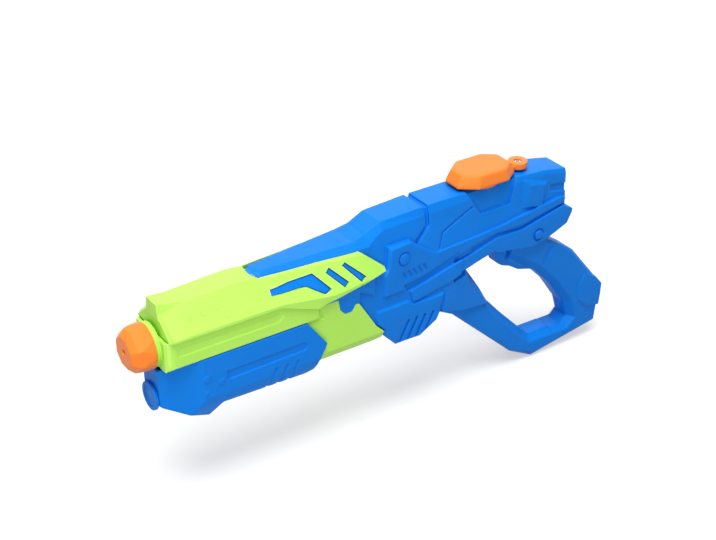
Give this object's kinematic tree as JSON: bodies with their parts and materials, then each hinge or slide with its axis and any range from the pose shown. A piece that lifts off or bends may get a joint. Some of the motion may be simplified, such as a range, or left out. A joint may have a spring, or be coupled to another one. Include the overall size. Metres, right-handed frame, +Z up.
{
  "type": "toy water squirter",
  "caption": "Pump-action toy water squirter: tank body with a closed hand loop, hooded barrel, sliding pump grip, faceted nozzle and hinged filler cap.",
  "frame": {"origin": "under the middle of the whole, at the height of the handle's lowest edge", "axes": "+X from the nozzle back to the handle, +Y to the side away from the picture, +Z up"},
  "size_m": [0.426, 0.05, 0.1854],
  "materials": {
    "blue_plastic": "satin moulded",
    "green_plastic": "satin moulded",
    "orange_plastic": "satin moulded",
    "white_plastic": "moulded",
    "clear_tube": "soft tube",
    "black_rubber": "matt",
    "steel": "plated"
  },
  "bodies": {
    "body": {"tank_body": "blue_plastic", "hood": "green_plastic", "barrel_left": "green_plastic", "barrel_right": "green_plastic", "barrel_screws": "steel", "nozzle": "orange_plastic", "nozzle_jet": "white_plastic", "nozzle_gasket": "black_rubber", "delivery_tube": "clear_tube", "outlet_fitting": "white_plastic", "valve_block": "white_plastic", "outlet_spring": "steel", "dip_tube": "clear_tube", "intake_strainer": "black_rubber", "tank_grommet": "black_rubber", "pump_cylinder": "white_plastic", "cylinder_gland": "black_rubber", "cap_tether": "orange_plastic", "tether_screw": "steel"},
    "pump": {"pump_grip": "blue_plastic", "pump_end_cap": "blue_plastic", "piston_rod": "white_plastic", "piston_head": "white_plastic", "piston_ring": "black_rubber"},
    "cap": {"fill_cap": "orange_plastic", "cap_gasket": "black_rubber"},
    "inlet_valve": {"inlet_ball": "steel"},
    "outlet_valve": {"outlet_ball": "steel"}
  },
  "joints": [
    {"name": "pump_slide", "type": "slide", "parent": "body", "child": "pump", "axis": [1, 0, 0], "range_m": [0, 0.04]},
    {"name": "cap_hinge", "type": "hinge", "parent": "body", "child": "cap", "pos_m": [0.1155, 0, 0.178], "axis": [0, 1, 0], "range_deg": [0, 95]},
    {"name": "inlet_check", "type": "slide", "parent": "body", "child": "inlet_valve", "axis": [-1, 0, 0], "range_m": [0, 0.002]},
    {"name": "outlet_check", "type": "slide", "parent": "body", "child": "outlet_valve", "axis": [0, 0, 1], "range_m": [0, 0.0015], "stiffness_N_per_m": 20, "springref_m": -0.003, "deforming": ["outlet_spring"]}
  ]
}
